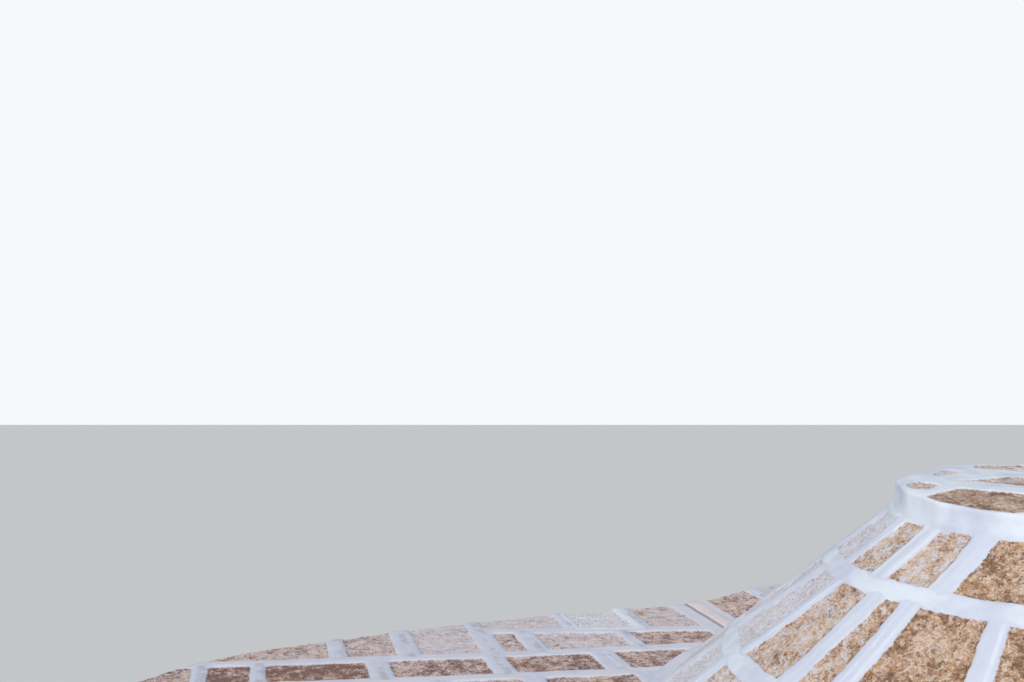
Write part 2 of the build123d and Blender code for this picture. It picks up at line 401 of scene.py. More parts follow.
def cross_joints():
    """Joints across each row of the deck, the rows out of the photograph's view at random."""
    random = np.random.default_rng(41)
    rows = []
    for row in range(len(ROW_LINES) + 1):
        if row in SEEN_CROSS_JOINTS:
            rows.append(np.array(SEEN_CROSS_JOINTS[row]))
            continue
        start = CROSS_FROM + random.uniform(*CROSS_STARTS)
        places = start + np.cumsum(random.uniform(*CROSS_STEPS, CROSS_COUNT))
        rows.append(np.stack([places, random.uniform(*CROSS_WIDTHS, CROSS_COUNT)], axis=-1))
    return rows


def row_lines(x):
    """Height in plan of each white line: y0 + slope t + bend t^2, t east of the row origin."""
    east = x - ROW_ORIGIN
    return [y0 + slope * east + ROW_BEND * east ** 2 for y0, slope in ROW_LINES]


def deck_layout(x, y):
    """Slabs of the deck in skew rows: distance inside a slab's edge, offset from the nearest
    cross joint's middle, and tone."""
    lines = row_lines(x)
    row = sum((y < line).astype(int) for line in lines)
    inside = np.full(x.shape, FAR)
    for number, line in enumerate(lines):
        gap = np.abs(y - line) - ROW_JOINT / 2
        if number == 0:
            gap = np.where(x > FIRST_LINE_END, gap, FAR)
        inside = np.minimum(inside, gap)
    merged = np.where((row == 1) & (x < FIRST_LINE_END), 0, row)
    offset = np.full(x.shape, FAR)
    slab = np.zeros(x.shape, int)
    between = [(a[0] + b[0]) / 2 for a, b in zip(ROW_LINES, ROW_LINES[1:])]
    middles = [ROW_ENDS[0]] + between + [ROW_ENDS[1]]
    slopes = [FIRST_ROW_SLOPE] + [slope for _, slope in ROW_LINES]
    for number, joints in enumerate(cross_joints()):
        here = row == number
        row_middle = middles[number] + slopes[number] * (x - ROW_ORIGIN)
        for count, (place, width) in enumerate(joints):
            away = x - (place + ROW_RAKE * (y - row_middle))
            inside = np.where(here, np.minimum(inside, np.abs(away) - width / 2), inside)
            offset = np.where(here & (np.abs(away) < np.abs(offset)), away, offset)
            slab = np.where((merged == number) & (away > 0), count + 1, slab)
    tones = np.random.default_rng(51).uniform(*DECK_TONES, (len(ROW_LINES) + 1, TONES_IN_ROW))
    for number, seen in SEEN_TONES.items():
        tones[number, :len(seen)] = seen
    return inside, offset, tones[merged, slab]


# Deck and ledge

# The crack where the deck meets the ledge, at the rim, and how it rakes
CRACK_AT = (-1.133, 2.106)
CRACK_RAKE = -0.263
CRACK_HALF = 0.008
CRACK_LIME = (-0.115, 0.175)


def past_crack(x, y):
    """Distance east of the crack, which leans across the roof on both sides of the apse."""
    return x - CRACK_AT[0] - CRACK_RAKE * (np.abs(y) - CRACK_AT[1])


def roof_level(angle):
    """Height of the deck or ledge: the ledge climbs from the kinks to its full height."""
    return DECK + (LEDGE - DECK) * smooth_step((KINK - from_x_axis(angle)) / LEDGE_CLIMB)


def nose_and_edge(thickness):
    """Profile over a rounded nose, down the slabs' edge and back under them: how far out from
    the rim and how far down."""
    turn = np.radians(np.linspace(15, 90, 5))[:, None]
    edge_out = np.array([0.001, 0.0, -0.001, -0.004, -ROOF_NOSE, -0.046])[:, None]
    edge_down = np.array([0.3, 0.55, 0.8, 0.95, 1.0, 1.0])[:, None] * thickness
    nose_down = ROOF_NOSE * (1 - np.cos(turn)) * np.ones_like(thickness)
    out = np.vstack([ROOF_NOSE * (np.sin(turn) - 1), edge_out])
    return out, -np.vstack([nose_down, edge_down])


def uneven_rim(angle, joints):
    """Distance from the axis to the rim, wavering, with every slab jutting by its own amount,
    stirred out of its tone: joints are those of the ledge, or none for the deck."""
    waver, jut, stir = 0.006, 0.016, 7.3
    theta = np.radians(angle)
    along = np.stack([*in_plan(3, theta), np.zeros_like(theta)], axis=-1)
    outer = rim_reach(angle) - 2 * waver + waver * rough(along, 0.30, 23, 2)
    if joints is None:
        tone = deck_layout(*in_plan(outer - 0.03, theta))[2]
    else:
        tone = joints[across_ring(angle % 360, outer, np.ones(len(angle)), joints)[2], TONE]
    return outer + even_out(jut * (tone * stir % 1 - 0.5))


def roof_layout(x, y, angle, radius, joints):
    """Distance inside a slab's edge, offset from the nearest joint's middle, and tone, on the
    ledge, or on the deck where no joints are given."""
    if joints is None:
        return deck_layout(x, y)
    share = np.clip((radius - LEDGE_HEADS_R) / (EAVES_R - LEDGE_HEADS_R), 0, 1)
    inside, offset, number, _, _ = across_ring(angle % 360, radius, share, joints)
    return inside, offset, joints[number, TONE]


def crack_relief(past):
    """Height that the crack takes off, and that the lime swells by just past it."""
    depth, swell = 0.007, 0.010
    cut = depth * smooth_step(1.5 - np.abs(past) / CRACK_HALF)
    return -cut, swell * smooth_step(past / 0.02) * smooth_step(2 - past / 0.07)


def lime_beside(inside, past, from_cone):
    """Distance inside a slab, less where lime spreads beside the crack and the cone's foot."""
    from_crack = np.where(past < CRACK_LIME[0] / 2, CRACK_LIME[0] - past, past - CRACK_LIME[1])
    return np.minimum(np.minimum(inside, from_crack), from_cone - FOOT_LIME)


def roof_part(name, start, stop, columns, rows, finish, joints=None):
    """Deck or ledge between two directions, in rows from under the cone out to the rim, over its
    nose and back below."""
    angle = np.linspace(start, stop, columns)
    theta = np.radians(angle)
    outer = uneven_rim(angle, joints)
    level = roof_level(angle)
    cone_foot = CONE_R - (level - DECK) / SLOPE
    inner = cone_foot - UNDER_CONE
    nose_out, nose_down = nose_and_edge(level - ROOF_BED)
    share = np.linspace(0, 1, rows)[:, None]
    radius = np.vstack([inner + (outer - ROOF_NOSE - inner) * share, outer + nose_out])
    drop = np.vstack([np.zeros((rows, columns)), nose_down])
    on_top = np.minimum(radius, outer - 0.004)
    top_x, top_y = in_plan(on_top, theta)
    around = np.broadcast_to(angle, radius.shape)
    inside, offset, tone = roof_layout(top_x, top_y, around, on_top, joints)
    past = past_crack(top_x, top_y)
    points = np.stack([*in_plan(radius, theta), level + drop], axis=-1)
    edge = ragged(points, lime_beside(inside, past, on_top - cone_foot))
    height = relief(points, edge)
    past = np.where(top_y > 0, past, FAR)
    for change in crack_relief(past):
        height += change
    height[rows:] *= np.linspace(0.8, 0, len(nose_out))[:, None]
    fillet = FILLET_RISE * smooth_step(1 - (radius - cone_foot) / FILLET_REACH)
    points[..., 2] += height + np.where(np.arange(len(radius))[:, None] < rows, fillet, 0)
    return surface(name, points, finish, "roof_slabs", edge=edge, tone=tone, crack=past,
                   ridge=np.abs(offset - 0.01), rose=0.95)


# Slabs on the cap, as corners in plan, anticlockwise, and tone
CAP_SLABS = [
    ([(-0.605, -0.170), (-0.590, -0.228), (-0.487, -0.366), (-0.366, -0.440), (-0.090, -0.510),
      (0.060, -0.480), (0.020, -0.275), (-0.368, -0.041)], 0.15),
    ([(-0.290, 0.118), (0.060, -0.095), (0.220, -0.030), (0.180, 0.150), (-0.050, 0.182)], 0.50),
    ([(-0.548, 0.085), (-0.572, -0.020), (-0.514, -0.052), (-0.426, 0.024), (-0.474, 0.120)],
     0.62),
    ([(-0.333, 0.293), (-0.341, 0.224), (-0.244, 0.266), (-0.169, 0.334), (-0.208, 0.379),
      (-0.258, 0.369)], 0.92),
    ([(-0.080, 0.440), (-0.035, 0.386), (0.106, 0.305), (0.260, 0.265), (0.330, 0.420),
      (0.170, 0.535), (-0.004, 0.520)], 0.66),
    ([(0.290, 0.230), (0.300, 0.020), (0.520, 0.060), (0.470, 0.260)], 0.35),
    ([(0.170, -0.150), (0.220, -0.430), (0.400, -0.350), (0.510, -0.110), (0.400, -0.060)], 0.30),
]

# Corners of the cap's rim, as (angle, radius)
CAP_CORNERS = [(112, 0.545), (161, 0.590), (184, 0.606), (204, 0.628), (222, 0.618), (248, 0.590),
               (278, 0.570), (315, 0.580), (350, 0.575), (24, 0.585), (66, 0.590), (89, 0.555)]


def polygon_inside(x, y, corners):
    """Distance inside the nearest side of a many-sided slab, below zero outside it."""
    inside = np.full(x.shape, FAR)
    for (ax, ay), (bx, by) in zip(corners, corners[1:] + corners[:1]):
        length = sqrt((bx - ax) ** 2 + (by - ay) ** 2)
        inside = np.minimum(inside, ((bx - ax) * (y - ay) - (by - ay) * (x - ax)) / length)
    return inside


def corner_reach(angle, corners):
    """Distance from the axis to a many-sided rim with these corners, in each direction: the
    side between corners p and q is met at cross(p, q) / cross(direction, q - p)."""
    along_x, along_y = in_plan(1, np.radians(angle))
    reach = np.zeros(angle.shape)
    for (a0, r0), (a1, r1) in zip(corners, corners[1:] + corners[:1]):
        px, py = r0 * cos(radians(a0)), r0 * sin(radians(a0))
        qx, qy = r1 * cos(radians(a1)), r1 * sin(radians(a1))
        across = along_x * (qy - py) - along_y * (qx - px)
        here = (angle - a0) % 360 <= (a1 - a0) % 360
        reach = np.where(here, (px * qy - py * qx) / np.where(here, across, 1), reach)
    return reach


def collar_foot(angle, rim):
    """Distance from the axis to the collar's foot, narrower on the side of the apse."""
    narrow = smooth_step(1 - np.abs(angle - COLLAR_NARROW_AT) / COLLAR_NARROW_HALF)
    return np.maximum(COLLAR_FOOT_R - COLLAR_DRAWN_IN * narrow, rim + COLLAR_LEAST)


def cap_profile(theta, rim, foot, top_rows):
    """Plain cap, as distances from the axis and heights: a falling, slightly crowned top, a
    rounded nose, a sweep out by the fourth power of the way down, and a tuck at the end."""
    turn = np.radians(np.linspace(15, 90, 6))[:, None]
    sweep = np.linspace(0, 1, 15)[1:, None]
    share = np.linspace(0, 1, top_rows)[:, None]
    top = share * (rim - CAP_NOSE)
    radius = np.vstack([top, rim + CAP_NOSE * (np.sin(turn) - 1),
                        rim + (foot - rim) * sweep ** 4, foot + 0.002])
    crown = 0.010 * (1 - share ** 2)
    rim_z = CAP_MIDDLE + CAP_FALL * rim * np.sin(theta)
    foot_z = cone_height(foot) + LIME_RISE * 0.9
    height = np.vstack([CAP_MIDDLE + CAP_FALL * (top * np.sin(theta)) + crown,
                        rim_z - CAP_NOSE * (1 - np.cos(turn)),
                        (rim_z - CAP_NOSE) + (foot_z - rim_z + CAP_NOSE) * sweep,
                        foot_z - COLLAR_TUCK])
    return radius, height


def cap(finish):
    """Cap in one skin: the top with its slabs, falling towards the doorway, a rounded rim of
    straight sides, and the sweep of lime down the drum and out onto the cone."""
    columns, top_rows, in_lime = 400, 56, -0.05
    angle = np.arange(columns) * 360 / columns
    theta = np.radians(angle)
    rim = even_out(corner_reach(angle, CAP_CORNERS)) - LIME_RISE
    radius, height = cap_profile(theta, rim, collar_foot(angle, rim), top_rows)
    x, y = in_plan(radius, theta)
    points = np.stack([x, y, height], axis=-1)
    inside = np.full(x.shape, in_lime)
    tone = np.zeros(x.shape)
    for corners, shade in CAP_SLABS:
        here = polygon_inside(x, y, corners)
        tone = np.where(here > inside, shade, tone)
        inside = np.maximum(inside, here)
    row = np.arange(len(radius))[:, None]
    edge = np.where(row < top_rows, ragged(points, inside), in_lime)
    rise = relief(points, edge) - LIME_RISE / 2
    out = np.where(row < top_rows, 0, rise) * smooth_step((len(radius) - 1 - row) / 4)
    points += np.stack([*in_plan(out, theta), np.where(row < top_rows, rise, 0)], axis=-1)
    return surface("cap_plaster", points, finish, "limewash", wrap=True, pole=True, edge=edge,
                   tone=tone, ridge=FAR, crack=FAR, rose=0.45)


# Walls

def stone_rows(along, height, row_height, lengths, seed):
    """Rubble in rows of random lengths: how far a point lies inside its stone, and one random
    value for each stone."""
    random = np.random.default_rng(seed)
    count = int(np.ceil(height.max() / row_height)) + 2
    row = np.clip(np.floor(height / row_height).astype(int), 0, count - 1)
    in_row = height - row * row_height
    inside = np.minimum(in_row, row_height - in_row)
    value = np.zeros(along.shape)
    most = int(np.ceil(along.max() / lengths[0])) + 2
    for number in range(count):
        ends = np.cumsum(random.uniform(*lengths, most)) - lengths[1] / 2
        stones = random.random(len(ends) + 1)
        here = row == number
        place = np.searchsorted(ends, along[here])
        beside = np.minimum(ends[np.minimum(place, len(ends) - 1)] - along[here],
                            along[here] - ends[np.maximum(place - 1, 0)])
        inside[here] = np.minimum(inside[here], np.abs(beside))
        value[here] = stones[place]
    return inside, value


def stone_relief(points, inside, value):
    """Rubble under a thick coat: each stone swells by the square root of the distance from its
    joints, and stands at its own depth."""
    swell = 0.016 * np.sqrt(np.clip(inside / 0.05, 0, 1)) + 0.012 * value
    return swell + 0.005 * rough(points, 0.16, 33, 2)


# Wall coat: half its opening for the frame, and its steps over the doorway and elsewhere
COAT_HALF = FRAME_HALF - 0.003
COAT_STEPS_OVER = 40
COAT_STEP = 0.033
COAT_ROWS_OVER, COAT_ROWS_BESIDE = 26, 74
COAT_BESIDE_FRAME, COAT_UNDER_ROOF = 0.06, 0.1  # over how far it thins out there
WALL_ROW, WALL_STONES = 0.21, (0.20, 0.46)  # height of a row, least and greatest length


def coat_walk():
    """The wall's outline in plan, over the lintel and on round the house: how far along each
    step lies, the lengths over the lintel and in all, x and y, and the way out."""
    gap = degrees(asin(COAT_HALF / WALL_R))
    fine = np.radians(np.linspace(-90 - gap, 270 - gap, 5000))
    reach = rim_reach(np.degrees(fine), EAVES_OVERHANG)
    fine_x, fine_y = in_plan(reach, fine)
    steps = np.hypot(np.diff(fine_x), np.diff(fine_y))
    walked = np.concatenate([[0], np.cumsum(steps)])
    over, whole = 2 * radians(gap) * WALL_R, walked[-1]
    along = np.concatenate([np.linspace(0, over, COAT_STEPS_OVER + 1)[:-1],
                            np.linspace(over, whole, round(whole / COAT_STEP))[:-1]])
    x, y = np.interp(along, walked, fine_x), np.interp(along, walked, fine_y)
    out_x, out_y = np.roll(y, -1) - np.roll(y, 1), np.roll(x, 1) - np.roll(x, -1)
    size = np.hypot(out_x, out_y)
    return along, over, whole, (x, y), (out_x / size, out_y / size)


def wall_coat(finish):
    """Limewashed rubble round the house: the wall's outline, carried up to the roof and swollen
    outwards by the stones, less beside the door frame and the roof, open at the doorway."""
    along, over, whole, (x, y), (out_x, out_y) = coat_walk()
    height = np.concatenate([np.linspace(ROOF_BED - 0.002, LINTEL_TOP, COAT_ROWS_OVER),
                             np.linspace(LINTEL_TOP, 0, COAT_ROWS_BESIDE)[1:]])[:, None]
    flat = np.stack(np.broadcast_arrays(x, y, height), axis=-1)
    walk = np.broadcast_to(along, flat.shape[:2]) + 0.03 * rough(flat, 0.5, 35, 2)
    level = height + 0.045 * rough(flat, 0.45, 37, 2) + 0.1
    inside, value = stone_rows(walk + 0.2, level, WALL_ROW, WALL_STONES, seed=36)
    beside = np.minimum(np.abs(along - over), np.minimum(along, whole - along))
    above = height - LINTEL_TOP
    over_door = along < over
    to_frame = np.where(over_door, above, np.hypot(beside, np.maximum(above, 0)))
    clear = smooth_step(to_frame / COAT_BESIDE_FRAME)
    out = 0.003 + stone_relief(flat, inside, value) * (0.25 + 0.75 * clear)
    out = out * (1 - 0.5 * smooth_step(height / COAT_UNDER_ROOF - ROOF_BED / COAT_UNDER_ROOF + 1))
    points = flat + np.stack([out_x * out, out_y * out, np.zeros_like(out)], axis=-1)
    keep = (height[1:] >= LINTEL_TOP - 1e-6) | ~over_door
    hollow = smooth_step(1 - inside / 0.035) * clear
    return surface("wall_coat", points, finish, "limewash", wrap=True, keep=keep, hollow=hollow)


# Dressed blocks

def box_grids(low, high, cell):
    """Six grids of points, one on each face of a box, all facing out."""
    grids = []
    for axis in range(3):
        u, v = (axis + 1) % 3, (axis + 2) % 3
        steps = [max(3, round((high[k] - low[k]) / cell)) for k in (u, v)]
        across, up = (np.linspace(low[k], high[k], n + 1) for k, n in zip((u, v), steps))
        for end in (0, 1):
            grid = np.zeros((steps[0] + 1, steps[1] + 1, 3))
            grid[..., u], grid[..., v] = across[:, None], up[None, :]
            grid[..., axis] = (low, high)[end][axis]
            grids.append(grid if end else grid[::-1])
    return grids


def worn_grid(grid, low, high, radius, seed):
    """Box with rounded, worn edges: each point is drawn to the nearest point of the box less
    its radius, then set off from it by the radius."""
    core = np.clip(grid, low + radius, high - radius)
    away = grid - core
    away = away / np.linalg.norm(away, axis=-1, keepdims=True)
    worn = radius + 0.0030 * (rough(grid, 0.10, seed, 3) - 0.6)
    return core + away * worn[..., None]


def blocks(name, boxes, finish, seed):
    """Dressed blocks in one piece."""
    cell, radius = 0.02, 0.012
    points, faces, start = [], [], 0
    for number, (low, high) in enumerate(boxes):
        low, high = np.array(low), np.array(high)
        for grid in box_grids(low, high, cell):
            grid = worn_grid(grid, low, high, radius, seed + 7 * number)
            rows, columns = grid.shape[:2]
            points.append(grid.reshape(-1, 3))
            faces.append(quads(start + np.arange(rows * columns).reshape(rows, columns)))
            start += rows * columns
    mesh = bpy.data.meshes.new(name)
    mesh.from_pydata(np.concatenate(points).tolist(), [], np.concatenate(faces).tolist())
    close_doubles(mesh)
    return piece(name, mesh, finish)


def jamb(name, node, finish, seed):
    """A jamb of dressed blocks, longer and shorter by turns, with thin joints."""
    half_joint = 0.002
    shares = np.array([0, 0.19, 0.41, 0.60, 0.82, 1.0])
    low, high = (np.array(corner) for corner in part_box(node))
    levels = low[2] + (high[2] - low[2]) * shares
    boxes = [((low[0], low[1], foot + half_joint), (high[0], high[1], head - half_joint))
             for foot, head in zip(levels, levels[1:])]
    made = blocks(name, boxes, finish, seed=seed)
    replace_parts(made, node)


# Inside

FLAG_ROW, FLAG_LENGTHS = 0.42, (0.35, 0.75)
DOME_STONES = (0.16, 0.34)  # least and greatest length
RINGS = 7


def joint_mortar(inside):
    """1 in the joints between stones, fading out within them."""
    return smooth_step(1.5 - inside / 0.012)


def flags(name, node, rim, finish, seed):
    """Worn floor slabs in rows: a fan of points from the axis out to a rim in plan."""
    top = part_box(node)[1][2]
    share = np.linspace(0, 1, 84)[:, None]
    x, y = rim[0] * share, rim[1] * share
    flat = np.stack(np.broadcast_arrays(x, y, np.full_like(x, top)), axis=-1)
    along = x + 6 + 0.02 * rough(flat, 0.4, seed)
    up = y + 3 + 0.02 * rough(flat, 0.5, seed + 3)
    inside, value = stone_rows(along, up, FLAG_ROW, FLAG_LENGTHS, seed)
    worn = 0.002 * rough(flat, 0.15, seed)
    flat[..., 2] += 0.004 * smooth_step(inside / 0.02) + worn + 0.002 * value
    return surface(name, flat, finish, "floor_slabs", wrap=True, pole=True,
                   mortar=joint_mortar(inside))


# Points along each ring's underside, up its face, and under the closing stone
SOFFIT_ROWS, FACE_ROWS, CLOSING_ROWS = 5, 12, 8


def dome_profile(nodes):
    """Section of the plain dome from the wall to the middle, as distances from the axis,
    heights and ring numbers: each ring's flat underside and its face, rounded off at both ends
    by a fourth power, then the closing stone."""
    rounding = 0.012
    face = np.linspace(0, 1, FACE_ROWS)
    radii, heights, rings = [], [], []
    for number, node in enumerate(nodes):
        low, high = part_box(node)[0][2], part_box(node)[1][2]
        inner = FIRST_RING_R - number * RING_STEP
        start = inner + RING_STEP if number else ROOM_R + 0.03
        radii += [np.linspace(start, inner + rounding, SOFFIT_ROWS)]
        radii += [inner + rounding * (2 * face - 1) ** 4]
        heights += [np.full(SOFFIT_ROWS, low + 0.001), low + 0.003 + (high - low - 0.004) * face]
        rings += [np.full(SOFFIT_ROWS + FACE_ROWS, number)]
    radii += [np.linspace(inner, 0, CLOSING_ROWS)]
    heights += [np.full(CLOSING_ROWS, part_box("closing_stone")[0][2])]
    rings += [np.full(CLOSING_ROWS, len(nodes))]
    return (np.concatenate(values)[:, None] for values in (radii, heights, rings))


def dome_lining(finish):
    """Inner face of the corbelled rings and the closing stone, each ring a course of stones
    that are pushed out or in by their own small amounts."""
    nodes = ["dome_ring_%d" % n for n in range(1, RINGS + 1)]
    columns = 240
    radius, height, ring = dome_profile(nodes)
    angle = np.radians(-np.arange(columns) * 360 / columns)
    x, y = in_plan(radius, angle)
    points = np.stack(np.broadcast_arrays(x, y, height), axis=-1)
    mean = np.maximum(FIRST_RING_R + RING_STEP / 2 - ring * RING_STEP, 0.3)
    walk = np.broadcast_to(-angle * mean, x.shape)
    row = np.broadcast_to(ring + 0.5, x.shape)
    inside, value = stone_rows(walk, row, 1.0, DOME_STONES, seed=44)
    stones = 0.010 - 0.012 * smooth_step(inside / 0.02) - 0.010 * value
    push = np.where(ring < len(nodes), stones, 0)
    push = push + 0.003 * rough(points, 0.09, 45, 2) * (radius > 0.02)
    points += np.stack([*in_plan(push, angle), np.zeros_like(push)], axis=-1)
    made = surface("dome_lining", points, finish, "dome_stone", wrap=True, pole=True,
                   mortar=joint_mortar(inside))
    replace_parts(made, *nodes, "closing_stone")


# Finishes

class Finish:
    """A material's node tree, with short calls for its nodes."""

    def __init__(self, name):
        """New material, laid out by the place of each point on its object."""
        self.material = bpy.data.materials.new(name)
        self.material.use_nodes = True
        self.nodes = self.material.node_tree.nodes
        self.links = self.material.node_tree.links
        self.shader = self.nodes["Principled BSDF"]
        self.place = self.nodes.new("ShaderNodeTexCoord").outputs["Object"]

    def set(self, socket, value):
        """Gives a socket another node's output, or a plain value."""
        if isinstance(value, bpy.types.NodeSocket):
            self.links.new(value, socket)
        else:
            socket.default_value = value

    def node(self, kind, output=0, settings=(), **inputs):
        """Output of a new node. Its inputs go by name, or by number after an underscore."""
        made = self.nodes.new("ShaderNode" + kind)
        for key, value in dict(settings).items():
            setattr(made, key, value)
        for key, value in inputs.items():
            name = key.replace("_", " ").title()
            self.set(made.inputs[name if name in made.inputs else int(key[1:])], value)
        return made.outputs[output]

    def value(self, name):
        """A value that the points of a surface carry."""
        return self.node("Attribute", "Fac", {"attribute_name": name})

    def noise(self, scale, detail=3.0, roughness=0.55):
        """Cloudy noise about 0.5, with this many clouds in a metre."""
        return self.node("TexNoise", "Fac", vector=self.place, scale=scale, detail=detail,
                         roughness=roughness)

    def cells(self, scale, feature="F1", output="Distance"):
        """Scattered cells, this many in a metre: distance to the nearest, or its own colour."""
        return self.node("TexVoronoi", output, {"feature": feature}, vector=self.place,
                         scale=scale, randomness=1.0)

    def red(self, shade):
        """Red part of a colour."""
        return self.node("SeparateColor", 0, _0=shade)

    def math(self, operation, a, b=0.0, clamp=False):
        """One sum with one or two values."""
        return self.node("Math", 0, {"operation": operation, "use_clamp": clamp}, _0=a, _1=b)

    plus = partialmethod(math, "ADD")
    minus = partialmethod(math, "SUBTRACT")
    times = partialmethod(math, "MULTIPLY")

    def ramp(self, value, low, high, to_low=0.0, to_high=1.0):
        """Soft climb from to_low to to_high while a value goes from low to high."""
        made = self.nodes.new("ShaderNodeMapRange")
        made.interpolation_type = "SMOOTHSTEP"
        for socket, setting in zip(made.inputs[:5], (value, low, high, to_low, to_high)):
            self.set(socket, setting)
        return made.outputs[0]

    def mix(self, share, a, b):
        """Colour that goes from a to b by a share."""
        return self.node("Mix", 2, {"data_type": "RGBA"}, _0=share, _6=a, _7=b)

    def blend(self, share, a, b):
        """Value that goes from a to b by a share."""
        return self.node("Mix", 0, {"data_type": "FLOAT"}, _0=share, _2=a, _3=b)

    def bump(self, height, distance, strength):
        """Roughens the surface by a height, in metres at 1."""
        made = self.nodes.new("ShaderNodeBump")
        made.inputs["Distance"].default_value = distance
        made.inputs["Strength"].default_value = strength
        self.set(made.inputs["Height"], height)
        self.set(self.shader.inputs["Normal"], made.outputs[0])

    def coat(self, shade, roughness, shine=0.5):
        """Sets the shader's colour, roughness and shine, and gives the material."""
        self.set(self.shader.inputs["Base Color"], shade)
        self.shader.inputs["Roughness"].default_value = roughness
        self.shader.inputs["Specular IOR Level"].default_value = shine
        return self.material


def colour(red, green, blue):
    """Linear colour from the 0 to 255 values that a screen shows, by the usual screen curve."""
    parts = [c / 255 for c in (red, green, blue)]
    linear = [p / 12.92 if p <= 0.04045 else ((p + 0.055) / 1.055) ** 2.4 for p in parts]
    return tuple(linear) + (1.0,)


LIME_WHITE = colour(233, 240, 252)
LIME_SHADE = colour(212, 218, 236)
LIME_WORN_AND_SHADE = colour(216, 212, 225)
WALL_WHITE = colour(231, 233, 237)
WALL_WORN = colour(212, 213, 220)
WALL_DUST_AND_SHADE = colour(192, 189, 188)
WALL_SPLASH = colour(176, 162, 146)
CREAM = colour(224, 206, 194)
SAND = colour(201, 166, 136)
HONEY = colour(172, 131, 96)
OCHRE = colour(194, 158, 112)
PLUM = colour(134, 102, 94)
UMBER = colour(122, 92, 74)
ROSE = colour(164, 131, 132)
BLOOM = colour(221, 200, 190)
PEBBLE = colour(188, 184, 184)
MORTAR = colour(206, 200, 192)
CRACK = colour(150, 126, 116)
WASHED = colour(229, 224, 232)
TRODDEN = colour(158, 142, 140)
WARM_REFLECTION = colour(244, 226, 222)


def stone_colour(f, tone, rose):
    """Pitted limestone as colour, pits and grains: honey, sand and cream grains, umber pits, a
    few pebbles, and a bloom where it is rosy; the higher the tone, the more cream."""
    grains = f.noise(46.0, 3.0, 0.60)
    small = f.noise(95.0, 2.0, 0.60)
    patch = f.minus(f.noise(9.0, 4.0, 0.62), 0.5)
    coarse = f.times(f.minus(f.noise(24.0, 2.0, 0.5), 0.5), f.times(rose, 0.58))
    pale = f.plus(f.times(f.minus(tone, 0.2), 0.13), f.times(patch, 0.55))
    pale = f.plus(pale, coarse)
    base = f.mix(f.ramp(f.plus(grains, pale), 0.42, 0.56), HONEY, SAND)
    base = f.mix(f.ramp(f.plus(small, pale), 0.52, 0.64), base, CREAM)
    kind = f.plus(f.red(f.cells(66.0, "F1", "Color")), pale)
    for shade, low, high, share in ((OCHRE, 0.62, 0.66, 0.50), (CREAM, 0.80, 0.84, 0.45),
                                    (PLUM, 0.16, 0.12, 0.55)):
        base = f.mix(f.times(f.ramp(kind, low, high), share), base, shade)
    rosy = f.mix(f.ramp(f.plus(small, pale), 0.44, 0.62), ROSE, BLOOM)
    base = f.mix(f.times(rose, f.ramp(f.noise(6.0, 3.0), 0.22, 0.52)), base, rosy)
    pits = f.ramp(f.minus(f.noise(62.0, 4.0, 0.7), pale), 0.57, 0.65)
    base = f.mix(f.times(pits, 0.62), base, UMBER)
    chosen = f.ramp(f.red(f.cells(13.0, "F1", "Color")), 0.80, 0.82)
    pebble = f.times(f.ramp(f.cells(13.0), 0.20, 0.15), chosen)
    return f.mix(f.times(pebble, 0.8), base, PEBBLE), pits, grains


def lime_cover(f, edge, tone, rose):
    """How much lime lies in the joints and as a rubbed wash on the slabs, more of it the paler
    the tone, from 0 to 1, and the frayed edge of the joints."""
    frayed = f.plus(edge, f.times(f.minus(f.noise(60.0, 3.0, 0.6), 0.5), 0.014))
    joints = f.ramp(frayed, f.plus(0.002, f.times(rose, 0.007)), -0.003)
    rubbed = f.plus(f.noise(26.0, 5.0, 0.75), f.times(tone, 0.26))
    specks = f.ramp(f.noise(58.0, 4.0, 0.72), 0.38, 0.58, 0.55, 1.0)
    wash = f.math("MAXIMUM", f.times(f.ramp(rubbed, 0.58, 0.80), 0.85),
                  f.times(f.ramp(tone, 0.82, 0.98), specks))
    return joints, wash, frayed


def lime_white(f, tone, ridge, crack, rose):
    """White of the joints: clouded, painted shade beside the ridge and a painted highlight on it,
    worn and painted as shaded on the deck and trodden there, a painted warm reflection beyond
    the crack, and dark in it."""
    deck = f.ramp(rose, 0.78, 0.92)
    white = f.mix(f.ramp(f.noise(4.0, 4.0, 0.6), 0.38, 0.66), LIME_WHITE, LIME_SHADE)
    # Worn lime on the deck, darker in part as painted shade of the flat deck.
    white = f.mix(f.times(deck, 0.6), white, LIME_WORN_AND_SHADE)
    # Painted shade: darker lime across each radial joint, beside its ridge.
    white = f.mix(f.times(f.ramp(ridge, 0.075, 0.045), 0.7), white, LIME_SHADE)
    # Painted highlight: a bright line of lime along each joint's ridge, broken by noise.
    broken_highlight = f.ramp(f.noise(9.0, 3.0), 0.35, 0.60, 0.25, 0.85)
    white = f.mix(f.times(f.ramp(ridge, 0.011, 0.001), broken_highlight), white, LIME_WHITE)
    scuffs = f.ramp(f.noise(7.0, 5.0, 0.65), 0.45, 0.62, 0.0, 0.42)
    trodden = f.times(f.ramp(ridge, 0.034, 0.006), scuffs)
    white = f.mix(f.times(trodden, deck), white, TRODDEN)
    white = f.mix(f.ramp(tone, 1.05, 1.15), white, LIME_WHITE)
    # Painted reflection: warm pink light on the raised lime just past the crack.
    warm_reflection = f.times(f.ramp(crack, 0.0, 0.02), f.ramp(crack, 0.17, 0.12))
    white = f.mix(f.times(warm_reflection, f.ramp(f.noise(9.0), 0.40, 0.65, 0.1, 0.8)), white, WARM_REFLECTION)
    return f.mix(f.ramp(f.math("ABSOLUTE", crack), 0.016, 0.002, 0.0, 0.85), white, CRACK)


